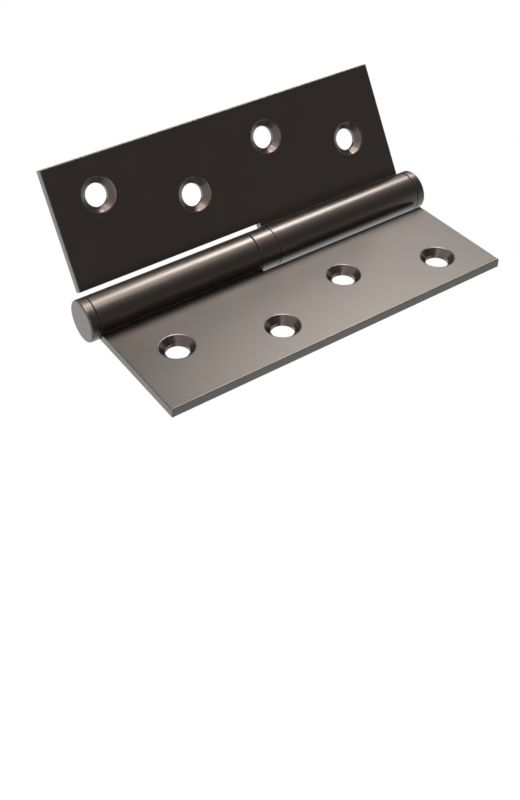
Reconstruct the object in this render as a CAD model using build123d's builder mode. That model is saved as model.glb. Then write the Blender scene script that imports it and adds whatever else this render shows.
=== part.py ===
from math import atan2, cos, pi, radians, sin, sqrt
import os

from build123d import *

# Lift-off hinge, 100 x 75 x 2.5, with a Ø6 pin and one ball bearing ring.
# Frame: the pin stands on Z and the origin is on its line, at the foot of the
# lower end cap. The lower leaf, which holds the pin, lies along +X with its
# countersunk face towards -Y. The upper leaf lifts off along +Z.

# Driving sizes, in millimetres and degrees
LEAF_HEIGHT = 100.0
LEAF_WIDTH = 37.5
LEAF_THICKNESS = 2.5
PIN_DIAMETER = 6.0
RING_HEIGHT = 6.0
FACE_SETBACK = 1.5
OPENING_ANGLE = 120.0
CAP_THICKNESS = 2.5
CAP_EDGE = 0.4
STEM_LENGTH = 5.0
PIN_NOSE = 1.2
PIN_FOOT_GAP = 0.5
PIN_HEAD_GAP = 4.0

# Leaf details. The root depth is how far in from where the back face leaves the
# knuckle the plate is rooted.
EDGE_EASE = 0.2
NOTCH_CLEARANCE = 0.95
RING_RELIEF = 0.25
ROOT_BEND_RADIUS = 2.5
ROOT_DEPTH = 0.37
SEAM_GAP = 0.25
SEAM_EASE = 0.3
SCREW_HOLE_DIAMETER = 6.0
COUNTERSINK_DIAMETER = 9.0
COUNTERSINK_ANGLE = 90.0
COUNTERSINK_RIM_EASE = 0.15
SCREWS_PER_LEAF = 4
FAR_ROW_FROM_EDGE = 10.0
NEAR_ROW_FROM_EDGE = 18.0

# Bearing details
RUNNING_CLEARANCE = 0.05
SHROUD_WALL = 0.5
SHROUD_LIP = 0.4
SHROUD_FOOT_GAP = 0.15
RACE_CLEARANCE = 0.15
CAGE_WEB = 0.2
BALL_COUNT = 12

# Sizes that follow
PIN_RADIUS = PIN_DIAMETER / 2
SOCKET_RADIUS = PIN_RADIUS + RUNNING_CLEARANCE
KNUCKLE_RADIUS = PIN_RADIUS + LEAF_THICKNESS
KNUCKLE_HEIGHT = (LEAF_HEIGHT - RING_HEIGHT) / 2
WEB_HEIGHT = KNUCKLE_HEIGHT - RING_RELIEF
BACK_SETBACK = FACE_SETBACK + LEAF_THICKNESS
NOTCH_EDGE = KNUCKLE_RADIUS + NOTCH_CLEARANCE
ROOT_START = sqrt(KNUCKLE_RADIUS**2 - BACK_SETBACK**2) - ROOT_DEPTH

LEAF_FOOT = CAP_THICKNESS
LEAF_HEAD = LEAF_FOOT + LEAF_HEIGHT
RING_FOOT = LEAF_FOOT + KNUCKLE_HEIGHT
PIN_FOOT = LEAF_FOOT + STEM_LENGTH + PIN_FOOT_GAP
PIN_HEAD = LEAF_HEAD - STEM_LENGTH - PIN_HEAD_GAP

SHROUD_BORE = KNUCKLE_RADIUS - SHROUD_WALL
LOWER_RACE_RADIUS = SHROUD_BORE - RACE_CLEARANCE
LIP_BORE = SHROUD_BORE - SHROUD_LIP
REBATE_RADIUS = LIP_BORE - RACE_CLEARANCE
REBATE_HEIGHT = SHROUD_FOOT_GAP + SHROUD_LIP + RACE_CLEARANCE
BALL_LEVEL = RING_FOOT + RING_HEIGHT / 2
PITCH_RADIUS = (PIN_RADIUS + SHROUD_BORE) / 2
CAGE_INNER_RADIUS = PIN_RADIUS + RACE_CLEARANCE
CAGE_OUTER_RADIUS = SHROUD_BORE - RACE_CLEARANCE
POCKET_RADIUS = (CAGE_OUTER_RADIUS - CAGE_INNER_RADIUS) / 2 - CAGE_WEB
BALL_RADIUS = POCKET_RADIUS - RUNNING_CLEARANCE
RACE_FACE = BALL_RADIUS + RUNNING_CLEARANCE
CAGE_THICKNESS = 2 * (RACE_FACE - RACE_CLEARANCE)

# Each leaf is drawn from the capped end of its own knuckle: Z runs along the
# pin towards the ring, X runs along the plate and -Y is the countersunk side.
PIN_LEAF_SEAT = Plane.XY.offset(LEAF_FOOT)
SOCKET_LEAF_SEAT = Plane(
    origin=(0, 0, LEAF_HEAD),
    x_dir=(cos(radians(OPENING_ANGLE)), -sin(radians(OPENING_ANGLE)), 0),
    z_dir=(0, 0, -1),
)


def finish(piece, name):
    """Label a finished piece and write it under its own name."""
    piece.label = name
    export_step(piece, f"parts/{name}.step")


def leaf_plate(seat):
    """Flat plate with its notch, eased edges and staggered countersunk holes."""
    front = Plane(
        origin=seat.from_local_coords((0, FACE_SETBACK, 0)),
        x_dir=seat.x_dir,
        z_dir=-seat.y_dir,
    )
    pitch = LEAF_HEIGHT / SCREWS_PER_LEAF
    rows = (LEAF_WIDTH - NEAR_ROW_FROM_EDGE, LEAF_WIDTH - FAR_ROW_FROM_EDGE)
    screws = [(rows[i % 2], (i + 0.5) * pitch) for i in range(SCREWS_PER_LEAF)]
    with BuildPart() as plate:
        with BuildSketch(front):
            with BuildLine():
                Polyline(
                    (ROOT_START, 0),
                    (LEAF_WIDTH, 0),
                    (LEAF_WIDTH, LEAF_HEIGHT),
                    (NOTCH_EDGE, LEAF_HEIGHT),
                    (NOTCH_EDGE, WEB_HEIGHT),
                    (ROOT_START, WEB_HEIGHT),
                    close=True,
                )
            make_face()
        extrude(amount=-LEAF_THICKNESS)
        broad_faces = plate.faces().sort_by(SortBy.AREA)[-2:]
        fillet(broad_faces.edges(), EDGE_EASE)
        with Locations(front):
            with Locations(*screws):
                CounterSinkHole(
                    radius=SCREW_HOLE_DIAMETER / 2,
                    counter_sink_radius=COUNTERSINK_DIAMETER / 2,
                    counter_sink_angle=COUNTERSINK_ANGLE,
                )
        rims = plate.edges().filter_by(GeomType.CIRCLE).group_by(SortBy.RADIUS)
        chamfer(rims[-1], COUNTERSINK_RIM_EASE)
    return plate.part


def rolled_leaf(seat, bore_radius):
    """Leaf of one steel strip: the plate and the knuckle rolled from it."""
    bend_height = BACK_SETBACK + ROOT_BEND_RADIUS
    bend_x = sqrt((KNUCKLE_RADIUS + ROOT_BEND_RADIUS) ** 2 - bend_height**2)
    bend_centre = Vector(bend_x, bend_height)
    bend_on_plate = Vector(bend_x, BACK_SETBACK)
    bend_on_knuckle = bend_centre.normalized() * KNUCKLE_RADIUS
    half_turn = (-pi / 2 + atan2(-bend_height, -bend_x)) / 2
    bend_middle = bend_centre + Vector(cos(half_turn), sin(half_turn)) * ROOT_BEND_RADIUS

    curl_end = FACE_SETBACK - SEAM_GAP
    round_x = sqrt((KNUCKLE_RADIUS - SEAM_EASE) ** 2 - (curl_end - SEAM_EASE) ** 2)
    round_centre = Vector(round_x, curl_end - SEAM_EASE)
    round_start = Vector(round_x, curl_end)
    round_end = round_centre.normalized() * KNUCKLE_RADIUS
    quarter_turn = (pi / 2 + atan2(round_centre.Y, round_centre.X)) / 2
    round_middle = round_centre + Vector(cos(quarter_turn), sin(quarter_turn)) * SEAM_EASE

    with BuildPart() as leaf:
        with BuildSketch(seat):
            Circle(KNUCKLE_RADIUS)
            Circle(bore_radius, mode=Mode.SUBTRACT)
        extrude(amount=KNUCKLE_HEIGHT)
        rims = leaf.edges().filter_by(GeomType.CIRCLE).group_by(SortBy.RADIUS)
        chamfer(rims[0], EDGE_EASE)
        fillet(rims[-1], EDGE_EASE)
        # The bend that sets the plate back from the knuckle's far side
        with BuildSketch(seat.offset(EDGE_EASE)):
            with BuildLine():
                ThreePointArc(bend_on_plate, bend_middle, bend_on_knuckle)
                Polyline(bend_on_knuckle, (ROOT_START, BACK_SETBACK - ROOT_DEPTH), bend_on_plate)
            make_face()
        extrude(amount=WEB_HEIGHT - 2 * EDGE_EASE)
        add(leaf_plate(seat))
        # The seam where the rolled end, its corner rounded, comes back to the plate
        with BuildSketch(seat):
            with BuildLine():
                ThreePointArc(round_start, round_middle, round_end)
                Polyline(
                    round_end,
                    (KNUCKLE_RADIUS, round_end.Y),
                    (KNUCKLE_RADIUS, FACE_SETBACK),
                    (0, FACE_SETBACK),
                    (0, curl_end),
                    round_start,
                )
            make_face()
        extrude(amount=KNUCKLE_HEIGHT, mode=Mode.SUBTRACT)
    return leaf.part


def end_cap(seat, stem_radius):
    """Turned plug: a head as wide as the knuckle, and a stem pressed in its bore."""
    along = Axis(seat.origin, seat.z_dir)
    with BuildPart() as cap:
        with BuildSketch(seat):
            Circle(KNUCKLE_RADIUS)
        extrude(amount=-CAP_THICKNESS)
        rings = cap.edges().filter_by(GeomType.CIRCLE).sort_by(along)
        fillet(rings[0], CAP_EDGE)
        rings = cap.edges().filter_by(GeomType.CIRCLE).sort_by(along)
        fillet(rings[-1], EDGE_EASE)
        with BuildSketch(seat):
            Circle(stem_radius)
        extrude(amount=STEM_LENGTH)
        rings = cap.edges().filter_by(GeomType.CIRCLE).sort_by(along)
        chamfer(rings[-1], EDGE_EASE)
    return cap.part


os.makedirs("parts", exist_ok=True)

# Lower leaf, whose bore grips the pin
with BuildPart() as pin_leaf:
    add(rolled_leaf(PIN_LEAF_SEAT, PIN_RADIUS))
finish(pin_leaf.part, "pin_leaf")

# Upper leaf: the same stamping turned end for end, with a running bore
with BuildPart() as socket_leaf:
    add(rolled_leaf(SOCKET_LEAF_SEAT, SOCKET_RADIUS))
finish(socket_leaf.part, "socket_leaf")

# Pin: pressed in the lower knuckle, with a bevelled nose in the upper one
with BuildPart() as hinge_pin:
    with BuildSketch(Plane.XY.offset(PIN_FOOT)):
        Circle(PIN_RADIUS)
    extrude(amount=PIN_HEAD - PIN_FOOT)
    pin_rings = hinge_pin.edges().filter_by(GeomType.CIRCLE).sort_by(Axis.Z)
    chamfer(pin_rings[-1], length=PIN_NOSE, length2=PIN_NOSE / 2)
    pin_rings = hinge_pin.edges().filter_by(GeomType.CIRCLE).sort_by(Axis.Z)
    chamfer(pin_rings[0], EDGE_EASE)
finish(hinge_pin.part, "hinge_pin")

# End caps, one in the outer end of each knuckle
with BuildPart() as pin_leaf_cap:
    add(end_cap(PIN_LEAF_SEAT, PIN_RADIUS))
finish(pin_leaf_cap.part, "pin_leaf_cap")

with BuildPart() as socket_leaf_cap:
    add(end_cap(SOCKET_LEAF_SEAT, SOCKET_RADIUS))
finish(socket_leaf_cap.part, "socket_leaf_cap")

# Bearing shroud: the plain ring seen between the knuckles, with an inner lip
with BuildPart() as bearing_shroud:
    with BuildSketch(Plane.XY.offset(RING_FOOT + SHROUD_FOOT_GAP)):
        Circle(KNUCKLE_RADIUS)
        Circle(LIP_BORE, mode=Mode.SUBTRACT)
    extrude(amount=RING_HEIGHT - SHROUD_FOOT_GAP)
    with BuildSketch(Plane.XY.offset(RING_FOOT + SHROUD_FOOT_GAP + SHROUD_LIP)):
        Circle(SHROUD_BORE)
    extrude(amount=RING_HEIGHT, mode=Mode.SUBTRACT)
    shroud_rings = bearing_shroud.edges().filter_by(GeomType.CIRCLE).group_by(SortBy.RADIUS)
    fillet(shroud_rings[-1], EDGE_EASE)
finish(bearing_shroud.part, "bearing_shroud")

# Lower race: sits on the lower knuckle, with a rebate that clears the lip
with BuildPart() as bearing_lower_race:
    with BuildSketch(Plane.XY.offset(RING_FOOT)):
        Circle(REBATE_RADIUS)
        Circle(SOCKET_RADIUS, mode=Mode.SUBTRACT)
    extrude(amount=REBATE_HEIGHT)
    with BuildSketch(Plane.XY.offset(RING_FOOT + REBATE_HEIGHT)):
        Circle(LOWER_RACE_RADIUS)
        Circle(SOCKET_RADIUS, mode=Mode.SUBTRACT)
    extrude(amount=RING_HEIGHT / 2 - RACE_FACE - REBATE_HEIGHT)
finish(bearing_lower_race.part, "bearing_lower_race")

# Upper race: pressed in the shroud and carries the upper knuckle
with BuildPart() as bearing_upper_race:
    with BuildSketch(Plane.XY.offset(BALL_LEVEL + RACE_FACE)):
        Circle(SHROUD_BORE)
        Circle(SOCKET_RADIUS, mode=Mode.SUBTRACT)
    extrude(amount=RING_HEIGHT / 2 - RACE_FACE)
finish(bearing_upper_race.part, "bearing_upper_race")

# Cage: a flat ring with one pocket for each ball
with BuildPart() as bearing_cage:
    with BuildSketch(Plane.XY.offset(BALL_LEVEL - CAGE_THICKNESS / 2)):
        Circle(CAGE_OUTER_RADIUS)
        Circle(CAGE_INNER_RADIUS, mode=Mode.SUBTRACT)
        with PolarLocations(PITCH_RADIUS, BALL_COUNT):
            Circle(POCKET_RADIUS, mode=Mode.SUBTRACT)
    extrude(amount=CAGE_THICKNESS)
finish(bearing_cage.part, "bearing_cage")

# Balls, one in each pocket
for number in range(BALL_COUNT):
    place = Vector(PITCH_RADIUS, 0, BALL_LEVEL).rotate(Axis.Z, 360 / BALL_COUNT * number)
    with BuildPart() as bearing_ball:
        with Locations(place):
            Sphere(BALL_RADIUS)
    finish(bearing_ball.part, f"bearing_ball_{number + 1:02d}")
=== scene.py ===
from math import cos, radians, sin

import bpy
from mathutils import Euler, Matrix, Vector

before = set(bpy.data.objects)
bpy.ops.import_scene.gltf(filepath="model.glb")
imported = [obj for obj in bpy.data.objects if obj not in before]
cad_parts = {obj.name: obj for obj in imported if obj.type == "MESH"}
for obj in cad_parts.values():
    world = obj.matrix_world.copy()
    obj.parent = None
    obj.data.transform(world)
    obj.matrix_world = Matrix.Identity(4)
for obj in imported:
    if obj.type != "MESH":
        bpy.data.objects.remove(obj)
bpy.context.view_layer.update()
bpy.context.scene.view_settings.view_transform = "Standard"

MM = 0.001

# Camera: below the hinge, looking up at it, and rolled as in the photograph
CAMERA_PLACE = Vector((204.64, -174.562, -90.052)) * MM
CAMERA_TURN = (145.253, -55.0026, 0.1272)
CAMERA_LENS = 52.22
CAMERA_SENSOR = 36.0
CAMERA_SHIFT = (-0.0017, -0.1962)
CAMERA_NEAR = 0.01

# Floor: level, and low enough for the camera to stand over it
FLOOR_LEVEL = -0.14
FLOOR_RADIUS = 0.8
FLOOR_SIDES = 96
FLOOR_CLEAR_PLACE = (0.08, -0.07, 0.0)
FLOOR_CLEAR_RADIUS = 0.2
FLOOR_WHITE_RADIUS = 0.6
PAPER_DARKER = (0.82, 0.80, 0.785)
PAPER_LIGHTER = (0.85, 0.83, 0.815)
PAPER_GRAIN = 60.0
WHITE = (1.0, 1.0, 1.0)

# Lamp: high over the hinge and in front of it
LAMP_PLACE = (0.1, -0.25, 0.9)
LAMP_SIZE = 0.8
LAMP_POWER = 3.3
LAMP_COLOUR = (1.0, 0.97, 0.94)

# Studio: one row for each panel, with the azimuth and elevation of its centre,
# half its width and height and how soft its edges are, all in degrees, how far
# it leans, in degrees of azimuth to one of elevation, its colour and its strength
STUDIO_DARK = (0.092, 0.076, 0.070)
STUDIO_PANELS = {
    "key": (-116, 28, 9, 6, 8, -0.45, (1.0, 0.915, 0.855), 8.5),
    "low_card": (-95, 6, 17, 14, 6, 0.0, (1.0, 0.81, 0.75), 2.8),
    "shoulder": (-134, 29, 17, 8, 8, 0.0, (1.0, 0.93, 0.87), 1.1),
    "top_card": (-128, 52, 30, 8, 8, 0.0, (0.7, 1.0, 1.0), 0.55),
    "left_card": (-156, 18, 12, 18, 12, 0.0, (1.0, 0.9, 0.85), 0.42),
    "right_card": (-72, 12, 20, 14, 14, 0.0, (1.0, 0.88, 0.84), 0.15),
    "ceiling": (0, 90, 180, 24, 14, 0.0, (1.0, 1.0, 0.9), 0.32),
}
# White backdrop as the metal sees it: the same six values, and how much of it shows
STUDIO_WHITES = {
    "beside": (33, 34, 30, 36, 46, -1.0, 0.26),
    "behind": (70, 40, 24, 22, 20, 0.0, 0.45),
    "behind_barrel": (114, 20, 28, 22, 18, 0.0, 0.7),
    "high_behind": (110, 60, 32, 10, 12, 0.0, 0.5),
    "low_behind": (135, -20, 30, 26, 20, 0.0, 0.85),
}

# Leaves as the hinge's pieces are drawn: each leaf's width runs out from the pin,
# and its height from the capped end of its own knuckle
LEAF_FOOT = 2.5 * MM
LEAF_HEAD = 102.5 * MM
OPENING_ANGLE = radians(-120)
SCREW_PITCH = 25 * MM
SCREW_NEAR_ROW = 19.5 * MM
SCREW_FAR_ROW = 27.5 * MM
COUNTERSINK_RADIUS = 4.5 * MM
BARREL_RADIUS = 5.5 * MM
LEAF_REACH = 37.5 * MM
FACE_DEPTH = 1.5 * MM
BACK_DEPTH = 4.0 * MM
# Joints between the knuckles, the ring and the caps, by their heights
JOINTS = (2.5 * MM, 49.575 * MM, 55.5 * MM, 102.5 * MM)

# Painted shade in the joints and in the corners beside the knuckles: where each is full, where it ends,
# and its share of the tone
JOINT_FULL = 0.1 * MM
JOINT_END = 0.2 * MM
JOINT_TONE = 0.25
BARREL_SKIN = BARREL_RADIUS * 1.02
BARREL_CLEAR = BARREL_RADIUS * 1.04
PLATE_START = BARREL_RADIUS * 1.05
CORNER_FULL = 6.9 * MM
CORNER_END = 9.1 * MM
NEAR_CORNER_TONE = 0.4
FAR_CORNER_TONE = 0.75

# The countersunk face, and the countersinks with their bores: where each is full and
# where it ends, by the depth behind the pin's line and the distance from a hole's line
FACE_FULL = FACE_DEPTH + 0.3 * MM
FACE_END = FACE_DEPTH + 0.4 * MM
BACK_FULL = BACK_DEPTH - 0.15 * MM
BACK_END = BACK_DEPTH - 0.05 * MM
SUNK_FULL = COUNTERSINK_RADIUS * 0.97
# Painted highlights, in the same way: by the distance from a countersink's rim, by the width and
# depth at the outer edge, and by the distance from the middle of the seam's eased end
RIM_FULL = 0.06 * MM
RIM_END = 0.16 * MM
EDGE_FULL = LEAF_REACH - 0.15 * MM
EDGE_END = LEAF_REACH - 0.3 * MM
EDGE_DEPTH_FULL = FACE_DEPTH + 0.1 * MM
EDGE_DEPTH_END = FACE_DEPTH + 0.25 * MM
EDGE_HIGHLIGHT_TONE = 1.45
SEAM_PLACE = 5.3 * MM
SEAM_FULL = 0.12 * MM
SEAM_END = 0.25 * MM
SEAM_HIGHLIGHT_TONE = 1.9
SEAM_ROUGHNESS = 0.6

# Finishes: colours, roughnesses and how deep the relief is, in metres
PLATING = (0.245, 0.236, 0.226)
CUT_PLATING = (0.236, 0.207, 0.197)
GROUND_STEEL = (0.56, 0.56, 0.55)
POLISHED_STEEL = (0.66, 0.66, 0.66)
BRASS_COLOUR = (0.72, 0.55, 0.26)
PLATING_ROUGHNESS = 0.30
CUT_ROUGHNESS = 0.25
PIN_ROUGHNESS = 0.20
BEARING_ROUGHNESS = 0.10
BRASS_ROUGHNESS = 0.26
LEAF_RELIEF = 0.0000006
TURNED_RELIEF = 0.0000004
BRASS_RELIEF = 0.0000008
POLISHED_RELIEF = 0.0000001
# Textures: how fine each is, how strong, and how the drawn and scratched ones stretch
LEAF_CLOUDS = 120.0
LEAF_ROUGH_CLOUDS = 160.0
LEAF_ROUGH_SPREAD = 0.015
GRAIN = 9000.0
GRAIN_SHARE = 0.55
DRAWN = 5000.0
DRAWN_SHARE = 0.45
DRAWN_STRETCH = (1.0, 1.0, 0.02)
CUT_RINGS = 5000.0
CUT_RINGS_HEIGHT = 2.0
CHATTER = 14.0
CHATTER_HEIGHT = 34.0
TURNED_CLOUDS = 150.0
PLATED_RINGS = 6000.0
PIN_RINGS = 5000.0
BRASS_RINGS = 3000.0
POLISHED_CLOUDS = 400.0
POLISHED_ROUGH_CLOUDS = 900.0
SCRATCHES = 7000.0
SCRATCH_STRETCH = (1.0, 0.25, 1.0)
TONE_SPREAD = 0.03
BRASS_SPREAD = 0.06
POLISHED_SPREAD = 0.02
# Noise stays mostly between these two values, which a roughness is spread over
NOISE_LOW = 0.3
NOISE_HIGH = 0.7


def shade(colour, factor):
    return tuple(part * factor for part in colour)


class Nodes:
    """A short way to write one node tree."""

    def __init__(self, owner):
        owner.use_nodes = True
        self.tree = owner.node_tree
        self.tree.nodes.clear()

    def add(self, kind, settings=None, **inputs):
        """One node: settings are its own properties, inputs its sockets by name or index."""
        node = self.tree.nodes.new(kind)
        for name, value in (settings or {}).items():
            setattr(node, name, value)
        for name, value in inputs.items():
            by_index = name[0] == "_"
            socket = node.inputs[int(name[1:])] if by_index else node.inputs[name.replace("_", " ")]
            self.feed(socket, value)
        return node

    def feed(self, socket, value):
        """Link a socket, or set its value."""
        if isinstance(value, bpy.types.NodeSocket):
            self.tree.links.new(value, socket)
        elif isinstance(value, tuple) and socket.type == "RGBA":
            socket.default_value = (*value, 1.0)
        else:
            socket.default_value = value

    def math(self, operation, a, b=0.0, c=0.0, clamp=False):
        settings = {"operation": operation, "use_clamp": clamp}
        return self.add("ShaderNodeMath", settings, _0=a, _1=b, _2=c).outputs[0]

    def vector(self, operation, a, b=(0.0, 0.0, 0.0), output="Vector"):
        node = self.add("ShaderNodeVectorMath", {"operation": operation}, _0=a, _1=b)
        return node.outputs[output]

    def scale(self, vector, factor):
        node = self.add("ShaderNodeVectorMath", {"operation": "SCALE"}, _0=vector, Scale=factor)
        return node.outputs[0]

    def combine(self, x, y, z):
        return self.add("ShaderNodeCombineXYZ", None, X=x, Y=y, Z=z).outputs[0]

    def separate(self, vector):
        return self.add("ShaderNodeSeparateXYZ", None, Vector=vector).outputs

    def place(self, system="Object"):
        return self.add("ShaderNodeTexCoord").outputs[system]

    def spread(self, value, low, high, to_low, to_high, interpolation="LINEAR"):
        """The range from low to high, laid over another range."""
        node = self.add(
            "ShaderNodeMapRange",
            {"interpolation_type": interpolation},
            Value=value,
            From_Min=low,
            From_Max=high,
            To_Min=to_low,
            To_Max=to_high,
        )
        return node.outputs["Result"]

    def smooth(self, value, low, high):
        """A soft step of value from low to high."""
        return self.spread(value, low, high, 0.0, 1.0, "SMOOTHSTEP")

    def noise(self, vector, scale, detail=2.0, roughness=0.5):
        settings = {"Vector": vector, "Scale": scale, "Detail": detail, "Roughness": roughness}
        return self.add("ShaderNodeTexNoise", None, **settings).outputs["Fac"]

    def mix(self, kind, first, factor, low, high):
        """Low turning into high, for sockets of one kind, from the index of the first."""
        node = self.add("ShaderNodeMix", {"data_type": kind}, _0=factor)
        self.feed(node.inputs[first], low)
        self.feed(node.inputs[first + 1], high)
        return node.outputs[first // 2 - 1]

    def mix_value(self, factor, low, high):
        return self.mix("FLOAT", 2, factor, low, high)

    def mix_vector(self, factor, low, high):
        return self.mix("VECTOR", 4, factor, low, high)

    def mix_colour(self, factor, low, high):
        return self.mix("RGBA", 6, factor, low, high)


def make_camera():
    data = bpy.data.cameras.new("camera")
    data.sensor_width = CAMERA_SENSOR
    data.lens = CAMERA_LENS
    data.shift_x, data.shift_y = CAMERA_SHIFT
    data.clip_start = CAMERA_NEAR
    camera = bpy.data.objects.new("camera", data)
    camera.location = CAMERA_PLACE
    camera.rotation_euler = Euler([radians(a) for a in CAMERA_TURN])
    bpy.context.scene.collection.objects.link(camera)
    bpy.context.scene.camera = camera


def panel_mask(nodes, azimuth, elevation, centre, height, half_width, half_height, softness, lean):
    """One where a direction falls on a panel, fading to nought over its soft edges."""
    above = nodes.math("SUBTRACT", elevation, radians(height))
    off = nodes.math("SUBTRACT", azimuth, radians(centre))
    off = nodes.math("SUBTRACT", off, nodes.math("MULTIPLY", above, lean))
    off = nodes.math("WRAP", off, radians(180), radians(-180))
    across = nodes.math("ABSOLUTE", off)
    along = nodes.math("ABSOLUTE", above)
    edge = softness / 2
    wide = nodes.smooth(across, radians(half_width + edge), radians(max(half_width - edge, 0)))
    tall = nodes.smooth(along, radians(half_height + edge), radians(max(half_height - edge, 0)))
    return nodes.math("MULTIPLY", wide, tall)


def mirrored_rays(nodes, rays):
    """One on a ray that a surface has mirrored or let through."""
    return nodes.math("ADD", rays["Is Glossy Ray"], rays["Is Transmission Ray"], clamp=True)


def make_world():
    """White to the camera. Metal sees a dark studio with soft panels and the white backdrop."""
    world = bpy.data.worlds.new("studio")
    bpy.context.scene.world = world
    nodes = Nodes(world)
    parts = nodes.separate(nodes.place("Generated"))
    azimuth = nodes.math("ARCTAN2", parts["Y"], parts["X"])
    elevation = nodes.math("ARCSINE", parts["Z"])
    colour = STUDIO_DARK
    for *shape, tint, strength in STUDIO_PANELS.values():
        mask = panel_mask(nodes, azimuth, elevation, *shape)
        colour = nodes.vector("ADD", colour, nodes.scale(shade(tint, strength), mask))
    backdrop = 0.0
    for *shape, share in STUDIO_WHITES.values():
        mask = nodes.math("MULTIPLY", panel_mask(nodes, azimuth, elevation, *shape), share)
        backdrop = nodes.math("ADD", backdrop, mask, clamp=True)
    rays = nodes.add("ShaderNodeLightPath").outputs
    shown = nodes.math("MULTIPLY", mirrored_rays(nodes, rays), backdrop)
    shown = nodes.math("ADD", rays["Is Camera Ray"], shown, clamp=True)
    mixed = nodes.mix_vector(shown, colour, WHITE)
    background = nodes.add("ShaderNodeBackground", None, Color=mixed)
    nodes.add("ShaderNodeOutputWorld", None, Surface=background.outputs[0])


def make_floor():
    """A pale round floor that holds the shadow and turns into the white backdrop further out."""
    bpy.ops.mesh.primitive_circle_add(vertices=FLOOR_SIDES, radius=FLOOR_RADIUS, fill_type="NGON")
    floor = bpy.context.object
    floor.name = "floor"
    floor.location.z = FLOOR_LEVEL
    material = bpy.data.materials.new("floor_paper")
    nodes = Nodes(material)
    place = nodes.place()
    away = nodes.vector("DISTANCE", place, FLOOR_CLEAR_PLACE, output="Value")
    far = nodes.smooth(away, FLOOR_CLEAR_RADIUS, FLOOR_WHITE_RADIUS)
    rays = nodes.add("ShaderNodeLightPath").outputs
    seen = nodes.math("ADD", rays["Is Camera Ray"], mirrored_rays(nodes, rays), clamp=True)
    tone = nodes.mix_colour(nodes.noise(place, PAPER_GRAIN, 3.0), PAPER_DARKER, PAPER_LIGHTER)
    paper = nodes.add("ShaderNodeBsdfDiffuse", None, Color=tone)
    white = nodes.add("ShaderNodeEmission", None, Color=WHITE, Strength=1.0)
    mix = nodes.add("ShaderNodeMixShader", None, _1=paper.outputs[0], _2=white.outputs[0])
    nodes.feed(mix.inputs[0], nodes.math("MULTIPLY", seen, far))
    nodes.add("ShaderNodeOutputMaterial", None, Surface=mix.outputs[0])
    floor.data.materials.append(material)


def make_lamp():
    data = bpy.data.lights.new("top_lamp", "AREA")
    data.shape = "DISK"
    data.size = LAMP_SIZE
    data.energy = LAMP_POWER
    data.color = LAMP_COLOUR
    lamp = bpy.data.objects.new("top_lamp", data)
    lamp.location = LAMP_PLACE
    lamp.rotation_euler = (-Vector(LAMP_PLACE)).to_track_quat("-Z", "Y").to_euler()
    lamp.visible_glossy = False
    bpy.context.scene.collection.objects.link(lamp)


def metal(name, colour, roughness, height, depth):
    """A metal from its colour, roughness and surface relief."""
    material = bpy.data.materials.new(name)
    nodes = Nodes(material)
    place = nodes.place()
    relief = nodes.add("ShaderNodeBump", None, Strength=1.0, Distance=depth, Height=height(nodes, place))
    shader = nodes.add(
        "ShaderNodeBsdfPrincipled",
        None,
        Base_Color=colour(nodes, place),
        Metallic=1.0,
        Roughness=roughness(nodes, place),
        Normal=relief.outputs[0],
    )
    nodes.add("ShaderNodeOutputMaterial", None, Surface=shader.outputs[0])
    return material


def close_tones(base, spread, scale):
    """Two close tones of one colour, in soft clouds."""

    def make(nodes, place):
        cloud = nodes.noise(place, scale, 3.0, 0.6)
        return nodes.mix_colour(cloud, shade(base, 1 - spread), shade(base, 1 + spread))

    return make


def away_from_pin(nodes, place):
    """Distance from the pin's line."""
    parts = nodes.separate(place)
    flat = nodes.combine(parts["X"], parts["Y"], 0.0)
    return nodes.vector("LENGTH", flat, output="Value")


def painted_joint_shade(nodes, place):
    """Painted shade: one in the joints around the barrel, standing in for the shade in the fine gaps
    between its parts.
    """
    height = nodes.separate(place)["Z"]
    nearest = 1.0
    for joint in JOINTS:
        off = nodes.math("ABSOLUTE", nodes.math("SUBTRACT", height, joint))
        nearest = nodes.math("MINIMUM", nearest, off)
    close = nodes.smooth(nearest, JOINT_END, JOINT_FULL)
    on_barrel = nodes.smooth(away_from_pin(nodes, place), BARREL_CLEAR, BARREL_SKIN)
    return nodes.math("MULTIPLY", close, on_barrel)


def painted_corner_shade(nodes, place, face):
    """Painted shade: one in the corner where a plate's face meets a knuckle, fading out along the plate.
    """
    away = away_from_pin(nodes, place)
    plate = nodes.math("MULTIPLY", nodes.smooth(away, BARREL_SKIN, PLATE_START), face)
    return nodes.math("MULTIPLY", plate, nodes.smooth(away, CORNER_END, CORNER_FULL))


def leaf_width(nodes, place, out):
    """How far out along a leaf a point lies, from the pin's line."""
    return nodes.vector("DOT_PRODUCT", place, (cos(out), sin(out), 0.0), output="Value")


def leaf_depth(nodes, place, out, up):
    """How far behind the pin's line a point of a leaf lies."""
    return nodes.vector("DOT_PRODUCT", place, (-sin(out) * up, cos(out) * up, 0.0), output="Value")


def nearest_hole(nodes, place, out, end, up):
    """From the line of the nearest screw hole to a point of a leaf: the way and how far."""
    width = leaf_width(nodes, place, out)
    height = nodes.math("MULTIPLY_ADD", nodes.separate(place)["Z"], up, -end * up)
    ways = []
    for row, first in ((SCREW_NEAR_ROW, 0.5), (SCREW_FAR_ROW, 1.5)):
        across = nodes.math("SUBTRACT", width, row)
        along = nodes.math("SUBTRACT", height, first * SCREW_PITCH)
        along = nodes.math("WRAP", along, SCREW_PITCH, -SCREW_PITCH)
        ways.append(nodes.combine(across, along, 0.0))
    far = [nodes.vector("LENGTH", way, output="Value") for way in ways]
    first_is_near = nodes.math("LESS_THAN", far[0], far[1])
    way = nodes.mix_vector(first_is_near, ways[1], ways[0])
    return nodes.vector("NORMALIZE", way), nodes.math("MINIMUM", *far)


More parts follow.
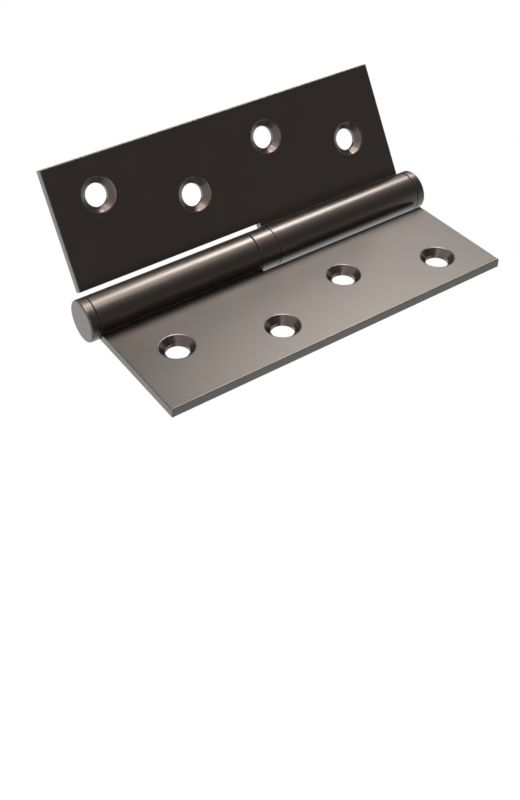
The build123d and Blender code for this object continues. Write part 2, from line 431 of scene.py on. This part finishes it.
def painted_edge_highlight(nodes, hole, width, depth, face):
    """Painted highlight: one on the rims of the countersinks and on the leaf's outer edge."""
    off = nodes.math("ABSOLUTE", nodes.math("SUBTRACT", hole, COUNTERSINK_RADIUS))
    rim = nodes.math("MULTIPLY", nodes.smooth(off, RIM_END, RIM_FULL), face)
    outer = nodes.smooth(width, EDGE_END, EDGE_FULL)
    outer = nodes.math("MULTIPLY", outer, nodes.smooth(depth, EDGE_DEPTH_END, EDGE_DEPTH_FULL))
    return nodes.math("MAXIMUM", rim, outer)


def painted_seam_highlight(nodes, width, depth):
    """One on the eased end of the roll, where it closes on the face of its own plate: a painted highlight
    line.
    """
    across = nodes.math("SUBTRACT", width, SEAM_PLACE)
    off = nodes.combine(across, nodes.math("SUBTRACT", depth, FACE_DEPTH), 0.0)
    return nodes.smooth(nodes.vector("LENGTH", off, output="Value"), SEAM_END, SEAM_FULL)


def leaf_plating(name, corner_tone, out, end, up):
    """Satin plating: a fine blasted grain, faint drawn lines, and countersinks cut after it."""

    def sunk_share(nodes, hole, depth):
        """One in the countersinks and bores, and nought on the back around them."""
        inside = nodes.smooth(depth, BACK_END, BACK_FULL)
        sunk = nodes.smooth(hole, COUNTERSINK_RADIUS, SUNK_FULL)
        return nodes.math("MULTIPLY", inside, sunk)

    def measure(nodes, place):
        """The way to the nearest hole, how far it is, and the point's width and depth."""
        way, hole = nearest_hole(nodes, place, out, end, up)
        return way, hole, leaf_width(nodes, place, out), leaf_depth(nodes, place, out, up)

    def colour(nodes, place):
        _, hole, width, depth = measure(nodes, place)
        face = nodes.smooth(depth, FACE_END, FACE_FULL)
        corner = painted_corner_shade(nodes, place, face)
        lit_edge = painted_edge_highlight(nodes, hole, width, depth, face)
        tone = close_tones(PLATING, TONE_SPREAD, LEAF_CLOUDS)(nodes, place)
        tone = nodes.mix_colour(sunk_share(nodes, hole, depth), tone, CUT_PLATING)
        # painted shade in the corner beside the knuckle, then painted highlights on the rims, the outer
        # edge and the seam, then painted shade in the joints
        tone = nodes.mix_colour(corner, tone, shade(PLATING, corner_tone))
        tone = nodes.mix_colour(lit_edge, tone, shade(PLATING, EDGE_HIGHLIGHT_TONE))
        tone = nodes.mix_colour(painted_seam_highlight(nodes, width, depth), tone, shade(PLATING, SEAM_HIGHLIGHT_TONE))
        return nodes.mix_colour(painted_joint_shade(nodes, place), tone, shade(PLATING, JOINT_TONE))

    def rough(nodes, place):
        _, hole, width, depth = measure(nodes, place)
        cloud = nodes.noise(place, LEAF_ROUGH_CLOUDS, 3.0, 0.6)
        low = PLATING_ROUGHNESS - LEAF_ROUGH_SPREAD
        high = PLATING_ROUGHNESS + LEAF_ROUGH_SPREAD
        plain = nodes.spread(cloud, NOISE_LOW, NOISE_HIGH, low, high)
        plain = nodes.mix_value(painted_seam_highlight(nodes, width, depth), plain, SEAM_ROUGHNESS)
        return nodes.mix_value(sunk_share(nodes, hole, depth), plain, CUT_ROUGHNESS)

    def relief(nodes, place):
        way, hole, _, depth = measure(nodes, place)
        grain = nodes.noise(place, GRAIN, 2.0, 0.6)
        drawn = nodes.noise(nodes.vector("MULTIPLY", place, DRAWN_STRETCH), DRAWN, 2.0, 0.5)
        plain = nodes.math("MULTIPLY_ADD", drawn, DRAWN_SHARE, nodes.math("MULTIPLY", grain, GRAIN_SHARE))
        turned = nodes.noise(nodes.combine(hole, 0.0, 0.0), CUT_RINGS, 2.0, 0.6)
        chatter = nodes.math("MULTIPLY", nodes.noise(way, CHATTER, 2.0, 0.6), CHATTER_HEIGHT)
        cut = nodes.math("MULTIPLY_ADD", turned, CUT_RINGS_HEIGHT, chatter)
        return nodes.mix_value(sunk_share(nodes, hole, depth), plain, cut)

    return metal(name, colour, rough, relief, LEAF_RELIEF)


def turned_metal(name, base, roughness, depth, line_scale, spread):
    """Metal turned on a lathe: fine rings about the pin's line, on sides and on flat ends."""

    def rings(nodes, place):
        return nodes.combine(away_from_pin(nodes, place), nodes.separate(place)["Z"], 0.0)

    def colour(nodes, place):
        tone = close_tones(base, spread, TURNED_CLOUDS)(nodes, place)
        # painted shade in the joints between the parts
        return nodes.mix_colour(painted_joint_shade(nodes, place), tone, shade(base, JOINT_TONE))

    def relief(nodes, place):
        return nodes.noise(rings(nodes, place), line_scale, 3.0, 0.65)

    def rough(nodes, place):
        lines = nodes.noise(rings(nodes, place), line_scale * 0.3, 2.0, 0.5)
        return nodes.spread(lines, NOISE_LOW, NOISE_HIGH, roughness * 0.9, roughness * 1.1)

    return metal(name, colour, rough, relief, depth)


def polished_metal(name, base, roughness):
    """Hardened and polished steel, with a trace of fine scratches."""

    def relief(nodes, place):
        return nodes.noise(nodes.vector("MULTIPLY", place, SCRATCH_STRETCH), SCRATCHES, 2.0, 0.6)

    def rough(nodes, place):
        cloud = nodes.noise(place, POLISHED_ROUGH_CLOUDS, 3.0, 0.6)
        return nodes.spread(cloud, NOISE_LOW, NOISE_HIGH, roughness * 0.7, roughness * 1.3)

    tones = close_tones(base, POLISHED_SPREAD, POLISHED_CLOUDS)
    return metal(name, tones, rough, relief, POLISHED_RELIEF)


make_camera()
make_world()
make_floor()
make_lamp()

LEAF = leaf_plating("leaf_plating", NEAR_CORNER_TONE, 0.0, LEAF_FOOT, 1.0)
FAR_LEAF = leaf_plating("far_leaf_plating", FAR_CORNER_TONE, OPENING_ANGLE, LEAF_HEAD, -1.0)
TURNED = turned_metal(
    "turned_plating", PLATING, PLATING_ROUGHNESS, TURNED_RELIEF, PLATED_RINGS, TONE_SPREAD
)
PIN = turned_metal("ground_steel", GROUND_STEEL, PIN_ROUGHNESS, TURNED_RELIEF, PIN_RINGS, TONE_SPREAD)
BEARING = polished_metal("polished_steel", POLISHED_STEEL, BEARING_ROUGHNESS)
BRASS = turned_metal(
    "cage_brass", BRASS_COLOUR, BRASS_ROUGHNESS, BRASS_RELIEF, BRASS_RINGS, BRASS_SPREAD
)

FINISHES = {
    "pin_leaf": LEAF,
    "socket_leaf": FAR_LEAF,
    "pin_leaf_cap": TURNED,
    "socket_leaf_cap": TURNED,
    "bearing_shroud": TURNED,
    "hinge_pin": PIN,
    "bearing_lower_race": BEARING,
    "bearing_upper_race": BEARING,
    "bearing_cage": BRASS,
}
for name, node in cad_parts.items():
    for slot in node.material_slots:
        slot.material = FINISHES.get(name, BEARING)
